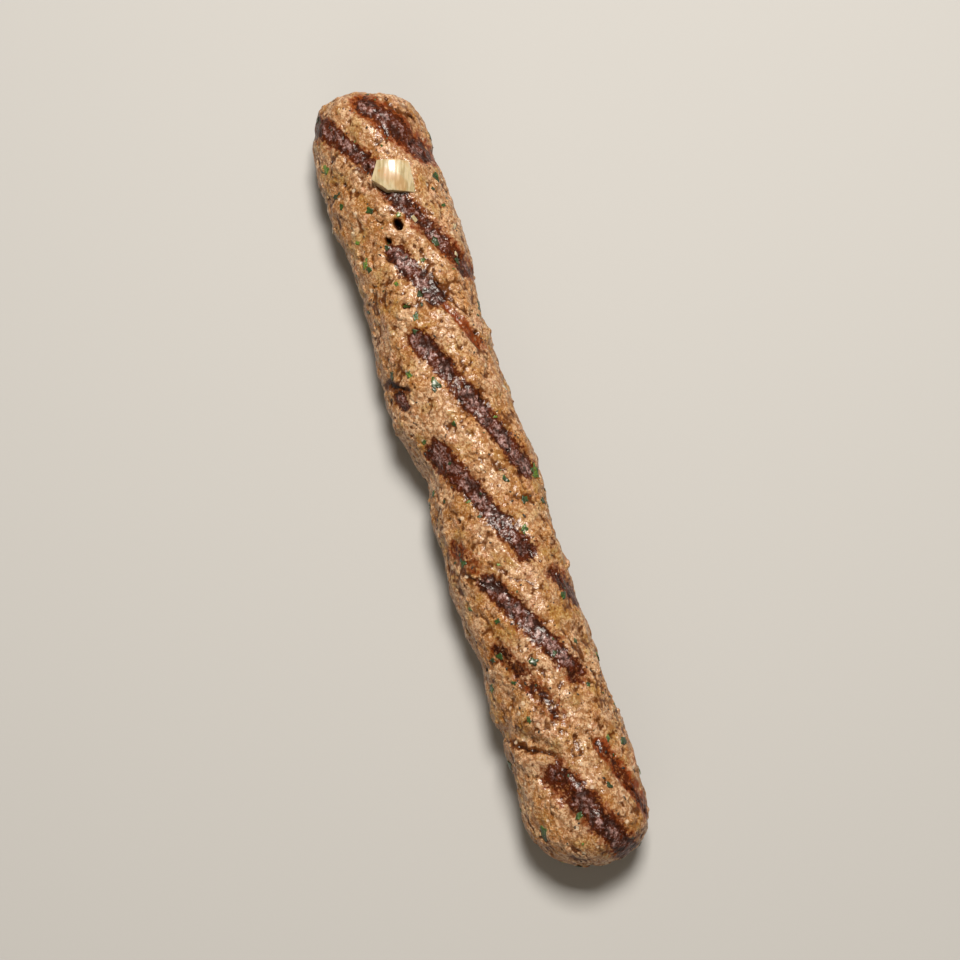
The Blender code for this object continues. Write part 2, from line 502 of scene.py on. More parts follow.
@dataclass(frozen=True)
class BrownedMeat:
    """The finish of grilled mince, from its pale inside tan to the black of the grate's marks, with shade
    painted into its hollows and crevices and a painted sheen in the marks.
    """

    pale: Colour = (0.610, 0.415, 0.262, 1)
    tan: Colour = (0.420, 0.208, 0.070, 1)
    brown: Colour = (0.200, 0.063, 0.007, 1)
    pink: Colour = (0.600, 0.335, 0.225, 1)
    juice: Colour = (0.310, 0.186, 0.028, 1)
    # Painted shade: the dark red-brown put into crevices, cracks and pits.
    crevice_shade: Colour = (0.085, 0.020, 0.0012, 1)
    caramel: Colour = (0.180, 0.028, 0.0025, 1)
    burnt: Colour = (0.070, 0.0125, 0.0022, 1)
    # A light grey-lilac for the middle of a mark: partly the grey of burnt meat, partly a painted sheen of the
    # light on it.
    ash_and_sheen: Colour = (0.420, 0.268, 0.252, 1)
    # Painted shade: near black for the deepest cracks and pits and for the crevices inside the marks.
    deep_shade: Colour = (0.016, 0.0042, 0.0020, 1)
    fat: Colour = (0.740, 0.600, 0.440, 1)
    crumb_size: float = 1.05 * MM
    patch_size: float = 8 * MM
    stain_size: float = 1.7 * MM
    dust_size: float = 0.40 * MM
    wet_size: float = 5 * MM
    ragged_size: float = 1.1 * MM
    speckle_size: float = 0.50 * MM
    speckle_patch: float = 2.6 * MM
    ripple_size: float = 0.85 * MM
    crumb_relief: float = 0.26 * MM
    film_relief: float = 0.21 * MM
    roughness: float = 0.40
    base_shine: float = 0.04
    film: float = 0.44
    film_roughness: float = 0.17
    refraction: float = 1.42
    glow: float = 0.20
    glow_reach: float = 0.7 * MM
    glow_colours: tuple[float, float, float] = (1.0, 0.45, 0.25)

    def flesh(self, w: Finish, dust: Socket, hollow_shade: Socket) -> Socket:
        """The cooked meat's colour, in patches, granules, stains and dust, with shade painted into the hollows,
        crevices, cracks and pits.

        Args:
            w: the material's wiring.
            dust: the finest mottling.
            hollow_shade: the hollows between the crumbs, where shade is painted.

        Returns:
            The colour.
        """
        tint, spark, crevice_shade = w.field(Field.TINT), w.field(Field.SPARK), w.field(Field.CREVICE_SHADE)
        patch = w.grain(w.where, self.patch_size, 3.0, 0.55)
        stain = w.grain(w.where, self.stain_size, 4.0, 0.65)
        wet = w.grain(w.where, self.wet_size, 2.0, 0.5)
        colour = w.blend(w.between(patch, 0.38, 0.62, 0.0, 0.8), self.tan, self.pale)
        layers = (
            (w.between(tint, 0.50, 0.95, 0.0, 0.7), self.pale),
            (w.between(tint, 0.42, 0.02, 0.0, 0.5), self.brown),
            (w.between(spark, 0.66, 0.92, 0.0, 0.6), self.pink),
            (w.between(stain, 0.52, 0.72, 0.0, 0.65), self.brown),
            (w.between(dust, 0.50, 0.62, 0.0, 0.60), self.pale),
            (w.between(dust, 0.48, 0.36, 0.0, 0.65), self.brown),
            (w.between(wet, 0.50, 0.68, 0.0, 0.45), self.juice),
            # Painted shade: the hollows between the crumbs darken towards brown, the crevices, cracks and pits
            # towards dark red-brown, and the deepest of them towards near black.
            (w.scaled(hollow_shade, 0.68), self.brown),
            (w.between(crevice_shade, 0.42, 1.0, 0.0, 0.95), self.crevice_shade),
            (w.between(crevice_shade, 1.1, 1.6), self.deep_shade),
        )
        for share, paint in layers:
            colour = w.blend(share, colour, paint)
        return colour

    def specked(self, w: Finish, colour: Socket, specks: Effect) -> Socket:
        """The flesh with its bits of fat, dark specks of painted shade for its pores, and its dark grit.

        Args:
            w: the material's wiring.
            colour: the flesh's colour.
            specks: the group for round specks.

        Returns:
            The colour.
        """
        fat, pore_shade, grit = (
            specks.used_in(w, {"Where": w.where, "Scale": scale, "Share": share, "Radius": radius})["Mask"]
            for scale, share, radius in ((520.0, 0.10, 0.34), (800.0, 0.07, 0.30), (420.0, 0.20, 0.23))
        )
        colour = w.blend(w.scaled(fat, 0.6), colour, self.fat)
        # The pore specks are painted shade for tiny holes; the grit specks, in the same dark colour, are dark
        # grit in the meat.
        return w.blend(w.scaled(w.math("MAXIMUM", pore_shade, grit), 0.88), colour, self.crevice_shade)

    def scorched(self, w: Finish, burn: Socket, hollow_shade: Socket) -> Socket:
        """The colour inside a grill mark: red-black, with a light grey-lilac where it burnt most, partly the
        grey of burnt meat and partly a painted sheen, and with shade painted into its hollows and crevices.

        Args:
            w: the material's wiring.
            burn: how far it burnt.
            hollow_shade: the hollows between the crumbs, where shade is painted.

        Returns:
            The colour.
        """
        drift = w.scaled(w.grain(w.where, self.speckle_patch, 2.0), 0.6, -0.3)
        speckle = w.math("ADD", w.grain(w.where, self.speckle_size, 3.0, 0.7), drift)
        # Painted sheen: the grey-lilac laid in speckles where the mark burnt most, partly burnt grey and partly
        # the sheen of light on the mark.
        ash_and_sheen_share = w.math("MULTIPLY", w.between(burn, 0.60, 0.86), w.between(speckle, 0.37, 0.55))
        colour = w.blend(ash_and_sheen_share, self.burnt, self.ash_and_sheen)
        # Painted shade: the hollows inside the mark darken to burnt red-black, and its crevices to near black.
        colour = w.blend(w.scaled(hollow_shade, 0.60), colour, self.burnt)
        return w.blend(w.between(w.field(Field.CREVICE_SHADE), 0.50, 1.0, 0.0, 0.85), colour, self.deep_shade)

    def paint(self, specks: Effect, crumb: Effect) -> bpy.types.Material:
        """Builds the material.

        Args:
            specks: the group for round specks.
            crumb: the group for the finest relief.

        Returns:
            The new material.
        """
        w = Finish("browned meat")
        crumbs = crumb.used_in(w, {"Where": w.where, "Size": self.crumb_size})
        # The hollows' mask, for painted shade.
        hollow_shade = crumbs["Hollow_shade"]
        dust = w.grain(w.where, self.dust_size, 3.0, 0.6)
        colour = self.specked(w, self.flesh(w, dust, hollow_shade), specks)

        fray = w.scaled(w.grain(w.where, self.ragged_size, 4.0, 0.65), 1.1, -0.55)
        ragged = w.math("ADD", fray, w.scaled(dust, 0.30, -0.15))
        toast = w.math("ADD", w.field(Field.CARAMEL), ragged)
        colour = w.blend(w.between(toast, 0.20, 0.56, 0.0, 0.92), colour, self.caramel)
        burn = w.math("ADD", w.field(Field.CHAR), ragged)
        burnt = w.between(burn, 0.34, 0.50)
        colour = w.blend(burnt, colour, self.scorched(w, burn, hollow_shade))

        rough = w.between(dust, 0.3, 0.7, self.roughness - 0.12, self.roughness + 0.14)
        height = w.math("MULTIPLY", crumbs["Height"], w.scaled(burnt, -0.30, 1.0))
        bump = w.add("Bump", {"Strength": 1.0, "Distance": self.crumb_relief, "Height": height})
        crests = w.scaled(crumbs["Height"], 0.12)
        ripple = w.math("ADD", w.grain(w.where, self.ripple_size, 1.5, 0.5), crests)
        film = w.add("Bump", {"Strength": 1.0, "Distance": self.film_relief, "Height": ripple})
        return w.laid({
            "Base Color": colour,
            "Roughness": w.math("ADD", rough, w.scaled(burnt, -0.06)),
            "Normal": bump.outputs[0],
            "Coat Normal": film.outputs[0],
            "Coat Weight": w.scaled(burnt, -0.3 * self.film, self.film),
            "Coat Roughness": self.film_roughness,
            "IOR": self.refraction,
            "Specular IOR Level": self.base_shine,
            "Subsurface Weight": self.glow,
            "Subsurface Radius": self.glow_colours,
            "Subsurface Scale": self.glow_reach,
        })


# ---------------------------------------------------------------- the log's form


@dataclass(frozen=True)
class Swell:
    """A hand-pressed bulge, or a finger dent where its height is negative.

    along is its place from the middle, around its degrees round the log (0 is +Y, 90 the top), and reach and
    spread are how far it fades out along and round the log.
    """

    along: float
    around: float
    height: float
    reach: float
    spread: float = 42.0


SWELLS = (
    Swell(-75 * MM, 180, 1.7 * MM, 15 * MM),
    Swell(-20 * MM, 180, 2.5 * MM, 14 * MM),
    Swell(3 * MM, 180, -2.2 * MM, 8 * MM),
    Swell(30 * MM, 180, 0.5 * MM, 11 * MM),
    Swell(50 * MM, 180, -1.0 * MM, 8 * MM),
    Swell(-64 * MM, 0, 0.9 * MM, 12 * MM),
    Swell(-36 * MM, 0, -1.4 * MM, 11 * MM),
    Swell(-19 * MM, 0, -0.9 * MM, 10 * MM),
    Swell(21 * MM, 0, -0.7 * MM, 9 * MM),
    Swell(73 * MM, 0, 1.3 * MM, 14 * MM),
    Swell(-52 * MM, 105, -1.1 * MM, 9 * MM),
    Swell(-25 * MM, 80, 0.7 * MM, 14 * MM),
    Swell(5 * MM, 120, -0.9 * MM, 9 * MM),
    Swell(38 * MM, 85, 0.6 * MM, 13 * MM),
    Swell(84 * MM, 130, -0.9 * MM, 10 * MM),
)


@dataclass(frozen=True)
class Crack:
    """A split in the meat: a narrow wandering valley between two places seen from above.

    It lies on the top, and its ends fade out over the taper.
    """

    start: tuple[float, float]
    end: tuple[float, float]
    depth: float
    half_width: float
    wander: float = 1.2 * MM
    taper: float = 3.0 * MM

    def depth_at(self, points: np.ndarray, facing: np.ndarray, seed: float) -> np.ndarray:
        """How deep the crack is at each point.

        Args:
            points: the surface's points.
            facing: how far each looks up, from -1 to 1.
            seed: tells this crack's wander from the others'.

        Returns:
            One depth for each point.
        """
        a, b = np.array(self.start), np.array(self.end)
        run = b - a
        length = np.hypot(*run)
        along = (points[:, :2] - a) @ run / length
        across = (points[:, 1] - a[1]) * run[0] / length - (points[:, 0] - a[0]) * run[1] / length
        inside = np.minimum(along, length - along)
        near = (np.abs(across) < 6 * MM) & (inside > -4 * MM) & (facing > -0.1)
        depth = np.zeros(len(points))
        chosen, inside = points[near], inside[near]
        shift = noise_at(chosen, 3.5 * MM, seed) + 0.4 * noise_at(chosen, 1.4 * MM, seed + 1)
        fade = smooth_step(-self.taper, 0.7 * self.taper, inside)
        wide = self.half_width * (0.55 + 0.45 * fade)
        off = (across[near] + self.wander * shift) / wide
        depth[near] = self.depth * fade * np.exp(-off * off)
        return depth


@dataclass(frozen=True)
class LogForm:
    """The log's smooth hand-pressed form, with the solid's own driving sizes."""

    length: float = 200 * MM
    width: float = 31.5 * MM
    height: float = 25 * MM
    flat_width: float = 15 * MM
    end_depth: float = 15 * MM
    far_bluntness: float = 3.0
    near_bluntness: float = 2.25
    end_slant: float = 0.13
    lump_size: float = 11 * MM
    lump_height: float = 0.9 * MM
    pebble_size: float = 4.5 * MM
    pebble_height: float = 0.7 * MM
    crease_along: float = 66 * MM
    crease_lean: float = 0.58
    crease_depth: float = 1.5 * MM
    crease_half_width: float = 2.4 * MM
    crease_ends_at: float = 2 * MM

    def dome(self, bluntness: float, steps: int) -> list[tuple[float, float]]:
        """A domed end's outline: (distance in from the tip, share of the full radius) at each step.

        Args:
            bluntness: 2 for a round end, and more for a blunter one.
            steps: how many steps there are.

        Returns:
            The steps, from the tip inwards.
        """
        power = 2 / bluntness
        angles = [math.pi / 2 * step / steps for step in range(steps + 1)]
        return [(self.end_depth * (1 - math.cos(a) ** power), math.sin(a) ** power) for a in angles]

    def outline(self, end_steps: int, body_steps: int) -> list[tuple[float, float]]:
        """Half of the outline, end to end: (x, share of the full radius) at each step.

        Args:
            end_steps: steps over each domed end.
            body_steps: steps along the rest.

        Returns:
            The steps, from one tip to the other.
        """
        straight = self.length - 2 * self.end_depth
        far = [(inset - self.length / 2, share) for inset, share in self.dome(self.far_bluntness, end_steps)]
        body = [(straight * (step / body_steps - 0.5), 1.0) for step in range(1, body_steps)]
        near_end = reversed(self.dome(self.near_bluntness, end_steps))
        return far + body + [(self.length / 2 - inset, share) for inset, share in near_end]

    def blank(self, sides: int, end_steps: int, body_steps: int) -> bmesh.types.BMesh:
        """The plain round blank: the outline spun about X with a radius of 1.

        Args:
            sides: steps round the log.
            end_steps: steps over each domed end.
            body_steps: steps along the rest.

        Returns:
            A new bmesh.
        """
        bm = bmesh.new()
        verts = [bm.verts.new((x, share, 0)) for x, share in self.outline(end_steps, body_steps)]
        edges = [bm.edges.new(pair) for pair in zip(verts, verts[1:])]
        bmesh.ops.spin(
            bm, geom=verts + edges, axis=(1, 0, 0), cent=(0, 0, 0),
            angle=2 * math.pi, steps=sides, use_merge=True,
        )
        bmesh.ops.remove_doubles(bm, verts=bm.verts, dist=1e-7)
        return bm

    def relief(self, at: np.ndarray, angle: np.ndarray) -> np.ndarray:
        """How far the hand-pressed surface stands out of the plain log at each place.

        Args:
            at: the places on the plain log.
            angle: each place's angle round the log.

        Returns:
            One height for each place.
        """
        height = self.lump_height * noise_at(at, self.lump_size, 0)
        shifted = at + np.array((7, 3, 5)) * self.pebble_size
        height += self.pebble_height * noise_at(shifted, self.pebble_size, 0)
        for swell in SWELLS:
            off = (np.degrees(angle) - swell.around + 180) % 360 - 180
            far = ((at[:, 0] - swell.along) / swell.reach) ** 2 + (off / swell.spread) ** 2
            height += swell.height * np.exp(-far)
        valley = self.crease_along + self.crease_lean * (at[:, 1] + self.width / 2)
        across = (at[:, 0] - valley) / self.crease_half_width
        fade = 1 - smooth_step(self.crease_ends_at - 7 * MM, self.crease_ends_at, at[:, 1])
        return height - self.crease_depth * fade * np.exp(-across * across)

    def press(self, round_points: np.ndarray, crowd: float) -> np.ndarray:
        """Gives the blank's points the log's oval section, slanted ends, uneven surface and flat underside.

        Args:
            round_points: the blank's points.
            crowd: how far the points are crowded towards the top, from 0 to below 1.

        Returns:
            The pressed points, about the solid's own origin.
        """
        cut_share = math.sqrt(1 - (self.flat_width / self.width) ** 2)
        half_height = self.height / (1 + cut_share)
        share = np.hypot(round_points[:, 1], round_points[:, 2])
        angle = np.arctan2(round_points[:, 2], round_points[:, 1])
        angle = angle + crowd * np.cos(angle)
        y, z = np.cos(angle), np.sin(angle)
        plain = np.column_stack((round_points[:, 0], share * y * self.width / 2, share * z * half_height))
        lift = self.relief(plain, angle) * smooth_step(0, 0.6, share)
        plain[:, 1] += y * lift
        plain[:, 2] += z * lift
        plain[:, 0] += self.end_slant * plain[:, 1]
        floor = -half_height * cut_share
        plain[:, 2] = np.maximum(plain[:, 2], floor) - floor
        return plain


# ---------------------------------------------------------------- the grill


@dataclass(frozen=True)
class Contact:
    """A stretch of the log that lay on one bar of the grate.

    bar counts the bars, and start and end are places along it. drift moves the line off the bar's middle at
    its start, and slew at its end. burn is how black it got, and sear how strong its red-brown edge is.
    """

    bar: int
    start: float
    end: float
    burn: float = 1.0
    drift: float = 0.0
    slew: float = 0.0
    half_width: float = 2.3 * MM
    sear: float = 1.0


@dataclass(frozen=True)
class Grate:
    """A grill grate: parallel bars at one pitch, turned from the log's length.

    first_bar is where bar 0 lies across the others. side is 1 for marks on the top, -1 for the underside.
    """

    pitch: float
    turn: float
    first_bar: float
    contacts: tuple[Contact, ...]
    side: int

    def burns(self, points: np.ndarray, facing: np.ndarray) -> tuple[np.ndarray, np.ndarray, np.ndarray]:
        """What the bars left on each point.

        Args:
            points: the surface's points.
            facing: how far each looks up, from -1 to 1.

        Returns:
            The char, the caramel and how far the bar pressed in, each from 0 to about 1.
        """
        char, caramel, pressed = (np.zeros(len(points)) for _ in range(3))
        ragged = noise_at(points, 3.2 * MM, 11) * 0.55 + noise_at(points, 1.3 * MM, 12) * 0.45
        broken = noise_at(points, 6 * MM, 13)
        uneven = noise_at(points, 9 * MM, 14)
        along = points[:, 0] * math.cos(self.turn) + points[:, 1] * math.sin(self.turn)
        across = points[:, 1] * math.cos(self.turn) - points[:, 0] * math.sin(self.turn)
        reach = smooth_step(-0.25, 0.22, facing * self.side)
        for contact in self.contacts:
            share = np.clip((along - contact.start) / (contact.end - contact.start), 0, 1)
            middle = self.first_bar - self.pitch * contact.bar
            middle = middle + contact.drift + (contact.slew - contact.drift) * share
            off = np.abs(across - middle) / contact.half_width
            over = np.maximum(np.maximum(contact.start - along, along - contact.end), 0) / contact.half_width
            far = np.hypot(off * (1 + 0.25 * uneven), over) + 0.32 * ragged
            whole = 1 - 0.30 * smooth_step(0.1, 0.6, broken)
            char = np.maximum(char, contact.burn * reach * (1 - smooth_step(0.25, 1.65, far)) * whole)
            caramel = np.maximum(caramel, contact.sear * reach * (1 - smooth_step(0.7, 1.75, far)))
            pressed = np.maximum(pressed, reach * (1 - smooth_step(0.6, 1.5, far)))
        return char, caramel, pressed


TOP_GRATE = Grate(
    pitch=10.3 * MM,
    turn=math.radians(23),
    first_bar=39.3 * MM,
    side=1,
    contacts=(
        Contact(0, -85.5 * MM, -68 * MM, 0.98, -1.8 * MM, 2.0 * MM, 3.3 * MM, 1.2),
        Contact(1, -95 * MM, -71 * MM, 1.00, -3.8 * MM, -1.0 * MM, 2.5 * MM, 1.0),
        Contact(1, -64 * MM, -38 * MM, 0.98, -1.6 * MM, 1.0 * MM, 2.4 * MM, 1.0),
        Contact(2, -51 * MM, -36 * MM, 1.08, -0.6 * MM, 0.1 * MM, 2.8 * MM, 0.7),
        Contact(2, -35 * MM, -20 * MM, 0.42, 0.3 * MM, 1.0 * MM, 1.1 * MM, 1.0),
        Contact(4, -23.8 * MM, -20.4 * MM, 1.00, -2.3 * MM, -2.3 * MM, 1.5 * MM, 0.6),
        Contact(3, -31 * MM, 10 * MM, 1.08, -0.2 * MM, 0.2 * MM, 2.7 * MM, 0.8),
        Contact(4, -7 * MM, 26 * MM, 1.05, -4.0 * MM, -3.4 * MM, 2.7 * MM, 0.8),
        Contact(4, 34 * MM, 42 * MM, 0.85, -1.2 * MM, -0.4 * MM, 2.2 * MM, 0.9),
        Contact(5, 13 * MM, 21 * MM, 0.55, -5.2 * MM, -5.0 * MM, 1.6 * MM, 0.9),
        Contact(5, 26 * MM, 55 * MM, 1.08, -5.2 * MM, -2.6 * MM, 2.7 * MM, 0.9),
        Contact(6, 39 * MM, 60 * MM, 0.66, -3.0 * MM, -2.2 * MM, 2.1 * MM, 0.8),
        Contact(6, 71 * MM, 92 * MM, 0.72, 0.8 * MM, 0.3 * MM, 1.6 * MM, 1.1),
        Contact(7, 70 * MM, 96 * MM, 1.05, -1.2 * MM, 0.9 * MM, 3.3 * MM, 1.0),
    ),
)

UNDER_GRATE = Grate(
    pitch=11.2 * MM,
    turn=math.radians(-31),
    first_bar=54 * MM,
    side=-1,
    contacts=tuple(
        Contact(bar, (-104 + 21 * bar) * MM, (-70 + 20 * bar) * MM, burn, 0.0, slew * MM, 2.4 * MM, 0.9)
        for bar, burn, slew in (
            (0, 0.8, 0.5), (1, 1.0, -0.6), (2, 1.1, 0.4), (3, 0.7, 0.9), (4, 1.1, -0.3),
            (5, 1.0, 0.7), (6, 0.6, -0.8), (7, 1.1, 0.2), (8, 0.9, 0.6), (9, 0.8, 0.0),
        )
    ),
)


# ---------------------------------------------------------------- the minced surface


@dataclass(frozen=True)
class Granules:
    """One size range of mince granules pressed together at the surface.

    smallest and largest are radii, and longest is how many times as long as wide one may be. dome is how high
    it stands as a share of its radius, and unevenness how far some stand above others.
    """

    count: int
    smallest: float
    largest: float
    longest: float
    dome: float
    unevenness: float
    seed: int

    def settle(
        self, points: np.ndarray, normals: np.ndarray, weights: np.ndarray, tree: KDTree
    ) -> tuple[np.ndarray, np.ndarray, np.ndarray]:
        """Raises a dome for each granule and keeps the highest at every point.

        Args:
            points: the surface's points.
            normals: their normals.
            weights: the share of the surface round each, so that granules are spread evenly.
            tree: the points, ready to be searched.

        Returns:
            The height at each point, with 0 where no granule stands, and the two random numbers of its granule.
        """
        rng = np.random.default_rng(self.seed)
        height = np.zeros(len(points))
        tint, spark = np.full(len(points), 0.5), np.full(len(points), 0.5)
        warp = np.column_stack([noise_at(points, 1.9 * MM, self.seed + axis) for axis in range(3)])
        warp *= 0.45 * self.smallest
        for centre in rng.choice(len(points), self.count, p=weights):
            radius = self.smallest + (self.largest - self.smallest) * rng.random() ** 1.6
            stretch = 1 + (self.longest - 1) * rng.random() ** 1.5
            reach = radius * stretch * 1.15
            found = np.array([index for _, index, _ in tree.find_range(points[centre], reach)])
            normal = normals[centre]
            side = np.cross(normal, rng.normal(size=3))
            side /= np.linalg.norm(side)
            other = np.cross(normal, side)
            local = points[found] + warp[found] - points[centre]
            axes = np.column_stack((side / stretch, other, normal * 0.6))
            far = np.linalg.norm(local @ axes, axis=1) / radius
            inside = far < 1
            found, far = found[inside], far[inside]
            raised = self.dome * radius * np.sqrt(1 - far ** 2.4) + self.unevenness * rng.random()
            wins = raised > height[found]
            height[found[wins]] = raised[wins]
            tint[found[wins]], spark[found[wins]] = rng.random(), rng.random()
        return height, tint, spark


@dataclass
class Skin:
    """The log's finished surface, for the bits that sit on it."""

    points: np.ndarray
    normals: np.ndarray
    weights: np.ndarray
    fields: dict[Field, np.ndarray]
    near: KDTree
    solid: BVHTree

    def seat(self, row: int, sunk: float, turn: float, lean: float = 0.0) -> Matrix:
        """A place on the skin.

        Args:
            row: the skin's point that the place is at.
            sunk: how far below the skin its middle is.
            turn: the angle that it is turned by about the way out.
            lean: the angle that it is tipped by.

        Returns:
            The matrix that puts a thing there, its own +Z pointing out.
        """
        out = Vector(self.normals[row])
        at = Vector(self.points[row]) - out * sunk
        stand = out.to_track_quat("Z", "Y").to_matrix().to_4x4()
        return Matrix.Translation(at) @ stand @ Matrix.Rotation(turn, 4, "Z") @ Matrix.Rotation(lean, 4, "X")

    def spots(self, rng: np.random.Generator, count: int, clear: float = 1.0 * MM) -> np.ndarray:
        """Rows of the skin spread evenly over it, none of them against the floor."""
        rows = rng.choice(len(self.points), count, p=self.weights)
        return rows[self.points[rows, 2] > clear]

    def below(self, x: float, y: float) -> int:
        """The row of the skin's highest point at a place seen from above."""
        hit = self.solid.ray_cast(Vector((x, y, 1.0)), Vector((0, 0, -1)))[0]
        return self.near.find(hit)[1]

    def lend(self, mesh: bpy.types.Mesh) -> None:
        """Gives a mesh that lies on the skin the fields of the skin beside it.

        Args:
            mesh: the mesh that takes the fields.
        """
        rows = [self.near.find(point)[1] for point in points_of(mesh)]
        for name, values in self.fields.items():
            write_field(mesh, name, values[rows])


@dataclass
class MinceLog:
    """The meat: one closed skin, pressed by hand, grained by the mincer and marked by the grate."""

    form: LogForm = field(default_factory=LogForm)
    sides: int = 222
    end_steps: int = 30
    body_steps: int = 372
    crowd: float = 0.22
    sink: float = 0.11 * MM
    mark_depth: float = 0.35 * MM
    coarse: Granules = Granules(
        count=5600, smallest=0.65 * MM, largest=1.7 * MM, longest=2.5, dome=0.42,
        unevenness=0.30 * MM, seed=3,
    )
    fine: Granules = Granules(
        count=17000, smallest=0.42 * MM, largest=0.75 * MM, longest=1.9, dome=0.45,
        unevenness=0.12 * MM, seed=5,
    )
    coarse_share: float = 0.60
    fine_share: float = 0.62
    pits: int = 220
    pit_radius: float = 0.35 * MM
    pit_spread: float = 0.50 * MM
    pit_steepness: float = 1.3
    cracks: tuple[Crack, ...] = (
        Crack((67.5 * MM, -11 * MM), (73.5 * MM, -3 * MM), 1.2 * MM, 0.60 * MM),
        Crack((-61.5 * MM, -0.6 * MM), (-59.7 * MM, 0.0 * MM), 3.6 * MM, 0.70 * MM, 0.1 * MM, 0.7 * MM),
        Crack((-58.2 * MM, -4.2 * MM), (-57.0 * MM, -3.6 * MM), 3.0 * MM, 0.55 * MM, 0.1 * MM, 0.6 * MM),
        Crack((-25 * MM, -14 * MM), (-20 * MM, -10.5 * MM), 1.3 * MM, 0.8 * MM),
        Crack((-45 * MM, 4 * MM), (-34 * MM, 9 * MM), 0.6 * MM, 0.5 * MM),
        Crack((26 * MM, -11 * MM), (33 * MM, -4 * MM), 0.7 * MM, 0.6 * MM),
        Crack((-92 * MM, 6 * MM), (-88 * MM, 12 * MM), 0.7 * MM, 0.6 * MM),
        Crack((46 * MM, 7 * MM), (55 * MM, 12 * MM), 0.35 * MM, 0.4 * MM),
    )

    def base(self) -> bpy.types.Mesh:
        """The smooth pressed log at its packed size, before any grain.

        Returns:
            The new mesh.
        """
        mesh = mesh_from(self.form.blank(self.sides, self.end_steps, self.body_steps), "kofta_meat")
        pressed = self.form.press(points_of(mesh), self.crowd)
        low, high = (np.array(corner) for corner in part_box("kofta_log"))
        scale = (high - low) / (pressed.max(0) - pressed.min(0))
        pressed = (pressed - pressed.min(0)) * scale + low
        place_points(mesh, pressed)
        return mesh

    def grain(
        self, points: np.ndarray, normals: np.ndarray, weights: np.ndarray, pressed: np.ndarray
    ) -> tuple[np.ndarray, np.ndarray, np.ndarray]:
        """The mince's relief, and the two random numbers of the granule at each point.

        Args:
            points: the smooth log's points.
            normals: their normals.
            weights: the share of the surface round each.
            pressed: how far a bar pressed each in, from 0 to 1.

        Returns:
            The height above the smooth log, the tint and the spark.
        """
        tree = tree_of(points)
        broad, tint, spark = self.coarse.settle(points, normals, weights, tree)
        small, tint_small, spark_small = self.fine.settle(points, normals, weights, tree)
        rough = 0.55 + 0.45 * smooth_step(-0.35, 0.4, noise_at(points, 13 * MM, 21))
        height = self.coarse_share * broad * rough * (1 - 0.70 * pressed)
        height += self.fine_share * small * (1 - 0.25 * pressed)
        rng = np.random.default_rng(8)
        for centre in rng.choice(len(points), self.pits, p=weights):
            radius = self.pit_radius + self.pit_spread * rng.random() ** 2
            for _, index, far in tree.find_range(points[centre], radius):
                height[index] -= self.pit_steepness * radius * (1 - (far / radius) ** 2)
        return height, 0.62 * tint + 0.38 * tint_small, 0.7 * spark + 0.3 * spark_small

    def build(self, finish: bpy.types.Material) -> Skin:
        """Makes the meat's piece.

        Args:
            finish: its material.

        Returns:
            The finished surface.
        """
        mesh = self.base()
        points, normals = points_of(mesh), normals_of(mesh)
        facing = normals[:, 2]
        top, under = TOP_GRATE.burns(points, facing), UNDER_GRATE.burns(points, facing)
        char, caramel, pressed = (np.maximum(a, b) for a, b in zip(top, under))
        weights = shares_of(mesh)
        height, tint, spark = self.grain(points, normals, weights, pressed)
        average = np.mean(height)
        split = sum(crack.depth_at(points, facing, 30 + number) for number, crack in enumerate(self.cracks))
        height -= split
        high = smooth_step(0.15 * MM, 0.9 * MM, height)
        # Painted shade: how dark to paint each point, rising in the low places between granules, along the
        # cracks and in the pits.
        crevice_shade = 1 - smooth_step(0.0, 0.45 * MM, height + 0.10 * MM * noise_at(points, 0.9 * MM, 41))
        crevice_shade += 0.8 * smooth_step(1.2 * MM, 2.2 * MM, split)
        crevice_shade += 0.5 * smooth_step(0.1 * MM, 0.7 * MM, -height)
        height -= self.mark_depth * pressed
        scorch = smooth_step(0.18, 0.62, noise_at(points, 8 * MM, 42)) * high * 0.42
        caramel = np.maximum(caramel * (0.45 + 0.55 * high), scorch)
        char = char * (0.72 + 0.42 * high)
        moved = points + normals * (height - average - self.sink)[:, None]
        moved[:, 2] = np.maximum(moved[:, 2], 0.0)
        place_points(mesh, moved)
        fields = {
            Field.CHAR: char,
            Field.CARAMEL: caramel,
            Field.CREVICE_SHADE: crevice_shade,
            Field.TINT: tint,
            Field.SPARK: spark,
        }
        for name, values in fields.items():
            write_field(mesh, name, values)
        self.unwrap(mesh)
        piece(mesh, finish, ("kofta_log",))
        shape = bmesh.new()
        shape.from_mesh(mesh)
        solid = BVHTree.FromBMesh(shape)
        shape.free()
        return Skin(moved, normals_of(mesh), weights, fields, tree_of(moved), solid)

    def unwrap(self, mesh: bpy.types.Mesh) -> None:
        """Rolls the skin out flat: round the log across the map, end to end up it.

        Args:
            mesh: the skin, which gets the map.
        """
        points = points_of(mesh)
        corners = np.empty(len(mesh.loops), int)
        mesh.loops.foreach_get("vertex_index", corners)
        starts = np.empty(len(mesh.polygons), int)
        mesh.polygons.foreach_get("loop_start", starts)
        sizes = np.empty(len(mesh.polygons), int)
        mesh.polygons.foreach_get("loop_total", sizes)
        middle = self.form.height / 2
        turn = np.arctan2(points[corners, 2] - middle, points[corners, 1]) / (2 * math.pi) + 0.25
        turn %= 1.0
        owner = np.repeat(np.arange(len(sizes)), sizes)
        highest = np.maximum.reduceat(turn, starts)[owner]
        lowest = np.minimum.reduceat(turn, starts)[owner]
        turn = np.where((highest - lowest > 0.5) & (turn < 0.5), turn + 1.0, turn)
        along = (points[corners, 0] - points[:, 0].min()) / np.ptp(points[:, 0])
        layer = mesh.uv_layers.new(name="OFBake")
        layer.data.foreach_set("uv", np.column_stack((turn / 1.02, along)).astype(np.float32).ravel())


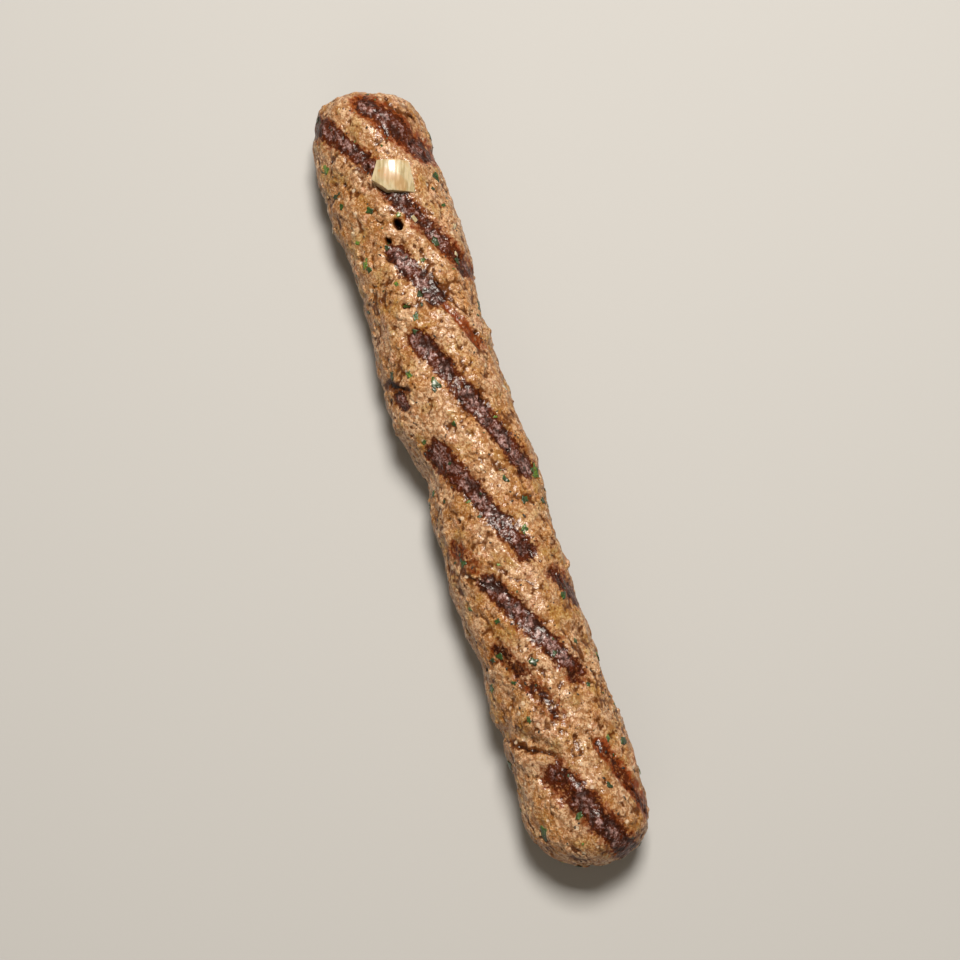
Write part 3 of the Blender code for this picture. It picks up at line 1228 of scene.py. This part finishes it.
# ---------------------------------------------------------------- what is mixed into the meat


@dataclass(frozen=True)
class MinceGrains:
    """Loose granules that stand half out of the skin and break up its outline."""

    count: int = 900
    smallest: float = 0.45 * MM
    largest: float = 1.05 * MM
    seed: int = 17

    def build(self, skin: Skin, finish: bpy.types.Material) -> None:
        """Makes them as one piece, browned like the skin under them and with the shade painted into it.

        Args:
            skin: the surface that they sit on.
            finish: their material.
        """
        rng = np.random.default_rng(self.seed)
        heap, lump = Heap(), ball(2)
        for row in skin.spots(rng, self.count):
            radius = self.smallest + (self.largest - self.smallest) * rng.random() ** 1.8
            sizes = Vector((radius * (1 + 0.8 * rng.random()), radius, radius * (0.55 + 0.3 * rng.random())))
            sunk = radius * (0.30 + 0.30 * rng.random())
            place = skin.seat(row, sunk, rng.random() * math.tau, 0.4 * rng.normal())
            heap.add_copy(lump, place @ Matrix.Diagonal(sizes).to_4x4())
        mesh = mesh_from(heap.bm, "mince_grains")
        points = points_of(mesh)
        push = noise_at(points, 0.9 * MM, 51) * 0.22 * MM
        place_points(mesh, np.maximum(points + normals_of(mesh) * push[:, None], (-1, -1, 0.0)))
        skin.lend(mesh)
        piece(mesh, finish)


@dataclass(frozen=True)
class Fleck:
    """One chopped parsley leaf at a chosen place, seen from above."""

    x: float
    y: float
    size: float


@dataclass(frozen=True)
class Parsley:
    """Chopped parsley: thin ragged bits of leaf draped over the granules."""

    chosen: tuple[Fleck, ...] = (
        Fleck(-82.0 * MM, -13.0 * MM, 3.0 * MM),
        Fleck(-74.0 * MM, -12.6 * MM, 1.8 * MM),
        Fleck(-71.0 * MM, -12.0 * MM, 1.6 * MM),
        Fleck(-66.2 * MM, -5.9 * MM, 2.0 * MM),
        Fleck(-54.2 * MM, 7.0 * MM, 2.6 * MM),
        Fleck(-54.7 * MM, -10.7 * MM, 2.5 * MM),
        Fleck(-48.6 * MM, 10.8 * MM, 2.0 * MM),
        Fleck(-37.0 * MM, -3.2 * MM, 2.2 * MM),
        Fleck(-26.0 * MM, -12.4 * MM, 2.2 * MM),
        Fleck(-19.2 * MM, -3.5 * MM, 3.2 * MM),
        Fleck(6.5 * MM, 13.5 * MM, 3.6 * MM),
        Fleck(7.8 * MM, 5.6 * MM, 2.0 * MM),
        Fleck(13.5 * MM, 8.5 * MM, 2.0 * MM),
        Fleck(38.2 * MM, 10.6 * MM, 2.4 * MM),
        Fleck(47.4 * MM, -7.9 * MM, 1.8 * MM),
        Fleck(63.7 * MM, -6.2 * MM, 1.8 * MM),
        Fleck(72.9 * MM, 10.1 * MM, 1.9 * MM),
        Fleck(74.9 * MM, 13.3 * MM, 1.6 * MM),
        Fleck(83.6 * MM, 6.8 * MM, 1.6 * MM),
        Fleck(89.4 * MM, -10.3 * MM, 3.8 * MM),
    )
    scattered: int = 230
    thickness: float = 0.10 * MM
    seed: int = 23

    def leaf(self, skin: Skin, row: int, size: float, rng: np.random.Generator) -> bmesh.types.BMesh:
        """One bit of leaf: a ragged disc laid down on the skin.

        Args:
            skin: what it lies on.
            row: the skin's point under its middle.
            size: how long it is.
            rng: where its ragged edge comes from.

        Returns:
            The new shape, in place.
        """
        place = skin.seat(row, 0.0, rng.random() * math.tau)
        bm = bmesh.new()
        bmesh.ops.create_circle(bm, cap_ends=True, cap_tris=True, segments=12, radius=size / 2)
        bmesh.ops.subdivide_edges(bm, edges=bm.edges[:], cuts=1, use_grid_fill=True)
        narrow = 0.50 + 0.40 * rng.random()
        shift = Vector(rng.normal(size=3) * 5)
        lobes, start = rng.integers(3, 6), rng.random() * math.tau
        curl = (0.10 + 0.5 * rng.random()) * 0.12 * size
        for vert in bm.verts:
            far = vert.co.length / (size / 2)
            lobe = 0.24 * math.sin(lobes * math.atan2(vert.co.y, vert.co.x) + start)
            ragged = 1 + (lobe + 0.45 * noise.noise(vert.co / (0.28 * size) + shift)) * far
            flat = Vector((vert.co.x * ragged, vert.co.y * narrow * ragged, 0))
            at = place @ flat
            near, out, _, _ = skin.solid.find_nearest(at)
            vert.co = near + out * (0.07 * MM + curl * far * far)
        bmesh.ops.recalc_face_normals(bm, faces=bm.faces[:])
        bmesh.ops.solidify(bm, geom=bm.faces[:], thickness=self.thickness)
        return bm

    def build(self, skin: Skin, finish: bpy.types.Material) -> None:
        """Makes every bit of leaf as one piece.

        Args:
            skin: the surface that it lies on.
            finish: its material.
        """
        rng = np.random.default_rng(self.seed)
        heap = Heap()
        for fleck in self.chosen:
            heap.add(self.leaf(skin, skin.below(fleck.x, fleck.y), fleck.size, rng))
        for row in skin.spots(rng, self.scattered, 2 * MM):
            heap.add(self.leaf(skin, row, (0.6 + 1.9 * rng.random() ** 2.2) * MM, rng))
        mesh = mesh_from(heap.bm, "parsley_flecks")
        skin.lend(mesh)
        piece(mesh, finish)


@dataclass(frozen=True)
class Grit:
    """Cracked pepper and burnt crumbs stuck in the skin."""

    count: int = 1000
    smallest: float = 0.12 * MM
    largest: float = 0.36 * MM
    seed: int = 29

    def build(self, skin: Skin, finish: bpy.types.Material) -> None:
        """Makes them as one piece.

        Args:
            skin: the surface that they sit on.
            finish: their material.
        """
        rng = np.random.default_rng(self.seed)
        heap, corn = Heap(), ball(1)
        for row in skin.spots(rng, self.count):
            radius = self.smallest + (self.largest - self.smallest) * rng.random() ** 2.5
            sizes = Vector((radius * (1 + rng.random()), radius, radius * 0.7))
            place = skin.seat(row, 0.2 * radius, rng.random() * math.tau, 0.4 * rng.normal())
            heap.add_copy(corn, place @ Matrix.Diagonal(sizes).to_4x4())
        piece(mesh_from(heap.bm, "pepper_grit"), finish)


@dataclass(frozen=True)
class OnionBits:
    """Small soft bits of onion and fat that show in the skin."""

    count: int = 8
    smallest: float = 0.35 * MM
    largest: float = 0.65 * MM
    seed: int = 31

    def build(self, skin: Skin, finish: bpy.types.Material) -> None:
        """Makes them as one piece.

        Args:
            skin: the surface that they sit on.
            finish: their material.
        """
        rng = np.random.default_rng(self.seed)
        heap = Heap()
        for row in skin.spots(rng, self.count, 3 * MM):
            size = self.smallest + (self.largest - self.smallest) * rng.random()
            place = skin.seat(row, 0.22 * size, rng.random() * math.tau, 0.25 * rng.normal())
            sizes = Vector((size * (1.2 + 0.7 * rng.random()), size, size * 0.42))
            bit = bmesh.new()
            bmesh.ops.create_cube(bit, size=2.0, matrix=Matrix.Diagonal(sizes).to_4x4())
            bmesh.ops.bevel(
                bit, geom=bit.edges[:], offset=0.34 * size, offset_type="OFFSET", segments=2,
                profile=0.5, affect="EDGES", material=-1, clamp_overlap=True,
            )
            heap.add(bit, place)
        mesh = mesh_from(heap.bm, "onion_bits")
        points = points_of(mesh)
        bend = noise_at(points, 0.9 * MM, 61) * 0.30 * MM
        place_points(mesh, points + normals_of(mesh) * bend[:, None])
        piece(mesh, finish)


@dataclass(frozen=True)
class OnionChunk:
    """The one coarse piece of onion: a curved bit of one layer, a corner cut off, with fine ribs on it."""

    wide: float = 11.0 * MM
    narrow: float = 0.68
    deep: float = 7.6 * MM
    thick: float = 2.8 * MM
    layer_radius: float = 15 * MM
    turn: float = math.radians(-17)
    tilt: float = math.radians(-7)
    corner: tuple[float, float, float] = (2.6 * MM, -3.0 * MM, 0.0)
    cut_faces: tuple[float, float, float] = (0.84, -0.54, 0.0)
    rounding: float = 0.45 * MM
    rib: float = 1.25 * MM
    rib_height: float = 0.015 * MM
    bow: float = 1.3 * MM

    def shape(self) -> bmesh.types.BMesh:
        """The chunk about its own middle, with its edges rounded.

        Returns:
            A new bmesh.
        """
        bm = bmesh.new()
        inner, outer = self.layer_radius - self.thick / 2, self.layer_radius + self.thick / 2
        sweep, half = self.wide / self.layer_radius, self.deep / 2
        corners = ((-half, inner), (-half, outer), (half, outer), (half, inner))
        face = bm.faces.new([bm.verts.new((x, 0, radius)) for x, radius in corners])
        bmesh.ops.transform(bm, matrix=Matrix.Rotation(sweep / 2, 4, "X"), verts=bm.verts)
        bmesh.ops.spin(
            bm, geom=[face, *face.edges, *face.verts], axis=(1, 0, 0), cent=(0, 0, 0),
            angle=-sweep, steps=36,
        )
        bmesh.ops.remove_doubles(bm, verts=bm.verts, dist=1e-7)
        for vert in bm.verts:
            vert.co.y *= self.narrow + (1 - self.narrow) * (vert.co.x + self.deep / 2) / self.deep
            vert.co.z -= self.layer_radius
        bmesh.ops.bisect_plane(
            bm, geom=bm.verts[:] + bm.edges[:] + bm.faces[:], dist=1e-7,
            plane_co=self.corner, plane_no=self.cut_faces, clear_outer=True,
        )
        bmesh.ops.edgeloop_fill(bm, edges=[edge for edge in bm.edges if edge.is_boundary])
        bmesh.ops.recalc_face_normals(bm, faces=bm.faces)
        sharp = [edge for edge in bm.edges if edge.is_manifold and edge.calc_face_angle() > 0.6]
        bmesh.ops.bevel(
            bm, geom=sharp, offset=self.rounding, offset_type="OFFSET", segments=4,
            profile=0.5, affect="EDGES", material=-1, clamp_overlap=True,
        )
        long_edges = [edge for edge in bm.edges if abs(edge.verts[0].co.x - edge.verts[1].co.x) > 2 * MM]
        bmesh.ops.subdivide_edges(bm, edges=long_edges, cuts=15, use_grid_fill=True)
        return bm

    def build(self, finish: bpy.types.Material) -> None:
        """Makes the chunk's piece where its solid lies.

        Args:
            finish: its material.
        """
        mesh = mesh_from(self.shape(), "onion_chunk_flesh")
        points, normals = points_of(mesh), normals_of(mesh)
        waver = 2.0 * noise_at(points, 4 * MM, 71)
        ribs = self.rib_height * np.sin(points[:, 1] / self.rib * math.tau + waver)
        points += normals * (ribs + 0.12 * MM * noise_at(points, 3.5 * MM, 72))[:, None]
        points[:, 2] -= self.bow * (0.5 + points[:, 0] / self.deep) ** 2
        low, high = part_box("onion_chunk")
        middle = (low + high) / 2
        turned = Matrix.Rotation(self.turn, 3, "Z") @ Matrix.Rotation(self.tilt, 3, "X")
        points = points @ np.array(turned).T
        points += np.array(middle) - (points.max(0) + points.min(0)) / 2
        place_points(mesh, points)
        piece(mesh, finish, ("onion_chunk",))


@dataclass(frozen=True)
class Leaf:
    """The finish of chopped parsley that has been on the grill: bright to dark green, moist."""

    bright: Colour = (0.130, 0.220, 0.018, 1)
    green: Colour = (0.036, 0.084, 0.008, 1)
    dark: Colour = (0.011, 0.024, 0.004, 1)

    def paint(self) -> bpy.types.Material:
        """Builds the material.

        Returns:
            The new material.
        """
        w = Finish("parsley")
        leaf_by_leaf = w.grain(w.where, 5 * MM, 1.0)
        veins = w.grain(w.where, 0.5 * MM, 3.0, 0.6)
        colour = w.blend(w.between(leaf_by_leaf, 0.54, 0.66), self.green, self.bright)
        colour = w.blend(w.between(leaf_by_leaf, 0.51, 0.40, 0.0, 0.85), colour, self.dark)
        colour = w.blend(w.between(veins, 0.42, 0.62, 0.0, 0.75), colour, self.dark)
        colour = w.blend(w.between(w.field(Field.CHAR), 0.3, 0.7, 0.0, 0.8), colour, self.dark)
        bump = w.add("Bump", {"Strength": 1.0, "Distance": 0.16 * MM, "Height": veins})
        return w.laid({
            "Base Color": colour,
            "Roughness": w.between(veins, 0.3, 0.7, 0.28, 0.5),
            "Normal": bump.outputs[0],
            "Coat Weight": 0.4,
            "Coat Roughness": 0.2,
        })


@dataclass(frozen=True)
class OnionFlesh:
    """The finish of grilled onion: translucent, pale, ribbed, with yellow-brown edges."""

    pale: Colour = (0.505, 0.420, 0.265, 1)
    clear: Colour = (0.355, 0.280, 0.150, 1)
    singed: Colour = (0.430, 0.205, 0.055, 1)

    def paint(self, specks: Effect) -> bpy.types.Material:
        """Builds the material.

        Args:
            specks: the group for round specks.

        Returns:
            The new material.
        """
        w = Finish("onion flesh")
        turned = w.add("Mapping", {"Vector": w.where, "Rotation": (0.0, 0.0, math.radians(17))}).outputs[0]
        drawn = w.add("Mapping", {"Vector": turned, "Scale": (0.14, 1.0, 1.0)}).outputs[0]
        ribs = w.grain(drawn, 0.80 * MM, 1.0, 0.5)
        cloud = w.grain(w.where, 5 * MM, 2.0, 0.5)
        colour = w.blend(w.between(ribs, 0.40, 0.62), self.clear, self.pale)
        colour = w.blend(w.between(cloud, 0.48, 0.64, 0.0, 0.45), colour, self.singed)
        spot = specks.used_in(w, {"Where": w.where, "Scale": 700.0, "Share": 0.05, "Radius": 0.28})["Mask"]
        bump = w.add("Bump", {"Strength": 0.4, "Distance": 0.05 * MM, "Height": ribs})
        return w.laid({
            "Base Color": w.blend(w.scaled(spot, 0.7), colour, self.singed),
            "Roughness": w.between(cloud, 0.3, 0.7, 0.22, 0.38),
            "Normal": bump.outputs[0],
            "Subsurface Weight": 0.45,
            "Subsurface Radius": (1.0, 0.8, 0.45),
            "Subsurface Scale": 1.6 * MM,
            "Coat Weight": 0.35,
            "Coat Roughness": 0.16,
        })


@dataclass(frozen=True)
class Pepper:
    """The finish of pepper and burnt crumbs."""

    black: Colour = (0.012, 0.008, 0.006, 1)
    husk: Colour = (0.080, 0.045, 0.022, 1)

    def paint(self) -> bpy.types.Material:
        """Builds the material.

        Returns:
            The new material.
        """
        w = Finish("pepper")
        grain = w.grain(w.where, 0.9 * MM, 2.0)
        return w.laid({
            "Base Color": w.blend(w.between(grain, 0.5, 0.65), self.black, self.husk),
            "Roughness": w.between(grain, 0.3, 0.7, 0.4, 0.6),
        })


# ---------------------------------------------------------------- studio


def outward(azimuth: float, elevation: float) -> Vector:
    """The way out to a place seen at this azimuth and elevation, in degrees."""
    a, e = math.radians(azimuth), math.radians(elevation)
    return Vector((math.sin(a) * math.cos(e), -math.cos(a) * math.cos(e), math.sin(e)))


@dataclass(frozen=True)
class Lamp:
    """One soft square light that looks at the log."""

    name: str
    azimuth: float
    elevation: float
    distance: float
    size: float
    watts: float
    colour: tuple[float, float, float]

    def hang(self) -> None:
        """Puts it in the scene."""
        data = bpy.data.lights.new(self.name, "AREA")
        data.size, data.energy, data.color = self.size, self.watts, self.colour
        made = bpy.data.objects.new(self.name, data)
        bpy.context.scene.collection.objects.link(made)
        out = outward(self.azimuth, self.elevation)
        made.location = out * self.distance
        made.rotation_mode = "QUATERNION"
        made.rotation_quaternion = (-out).to_track_quat("-Z", "Y")


@dataclass(frozen=True)
class Studio:
    """The floor, the lights and the camera."""

    azimuth: float = 72.8
    elevation: float = 77.0
    distance: float = 0.49
    lens: float = 76.0
    floor_size: float = 3.0
    aim: tuple[float, float, float] = (4.1 * MM, 0.5 * MM, 0.0)
    floor_colour: Colour = (0.40, 0.40, 0.40, 1)
    air_colour: Colour = (1.0, 0.87, 0.70, 1)
    air_strength: float = 0.12
    lamps: tuple[Lamp, ...] = (
        Lamp("key", 242, 68, 0.9, 0.28, 12.8, (1.0, 0.94, 0.85)),
        Lamp("fill", 60, 35, 1.1, 0.8, 2.2, (1.0, 0.86, 0.66)),
    )

    def camera(self, centre: Vector) -> None:
        """Puts the camera where the whole log fills the frame.

        Args:
            centre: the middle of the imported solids.
        """
        made = bpy.data.objects.new("camera", bpy.data.cameras.new("camera"))
        bpy.context.scene.collection.objects.link(made)
        made.data.lens = self.lens
        made.data.clip_start, made.data.clip_end = 0.01, 20
        back = outward(self.azimuth, self.elevation)
        made.location = centre + Vector(self.aim) + back * self.distance
        made.rotation_mode = "QUATERNION"
        made.rotation_quaternion = (-back).to_track_quat("-Z", "Y")
        bpy.context.scene.camera = made

    def floor(self) -> None:
        """Lays a plain pale floor."""
        bm = bmesh.new()
        bmesh.ops.create_grid(bm, x_segments=1, y_segments=1, size=self.floor_size / 2)
        mesh = mesh_from(bm, "floor")
        paint = bpy.data.materials.new("floor")
        paint.use_nodes = True
        shader = paint.node_tree.nodes["Principled BSDF"]
        shader.inputs["Base Color"].default_value = self.floor_colour
        shader.inputs["Roughness"].default_value = 0.8
        mesh.materials.append(paint)
        made = bpy.data.objects.new("floor", mesh)
        bpy.context.scene.collection.objects.link(made)
        made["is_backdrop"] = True

    def build(self, centre: Vector) -> None:
        """Sets up everything round the object.

        Args:
            centre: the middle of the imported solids.
        """
        self.floor()
        self.camera(centre)
        for lamp in self.lamps:
            lamp.hang()
        world = bpy.data.worlds.new("world")
        world.use_nodes = True
        air = world.node_tree.nodes["Background"]
        air.inputs["Color"].default_value = self.air_colour
        air.inputs["Strength"].default_value = self.air_strength
        bpy.context.scene.world = world
        bpy.context.scene.view_settings.view_transform = "Standard"


def main() -> None:
    """Builds the kofta and the studio, aiming the camera at the middle of the imported solids."""
    logging.basicConfig(level=logging.INFO, format="%(name)s: %(message)s")
    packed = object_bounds()
    specks, crumb = speck_effect(), crumb_effect()
    meat = BrownedMeat().paint(specks, crumb)
    onion = OnionFlesh().paint(specks)
    skin = MinceLog().build(meat)
    MinceGrains().build(skin, meat)
    OnionChunk().build(onion)
    OnionBits().build(skin, onion)
    Parsley().build(skin, Leaf().paint())
    Grit().build(skin, Pepper().paint())
    Studio().build((packed[0] + packed[1]) / 2)


if __name__ == "__main__":
    main()
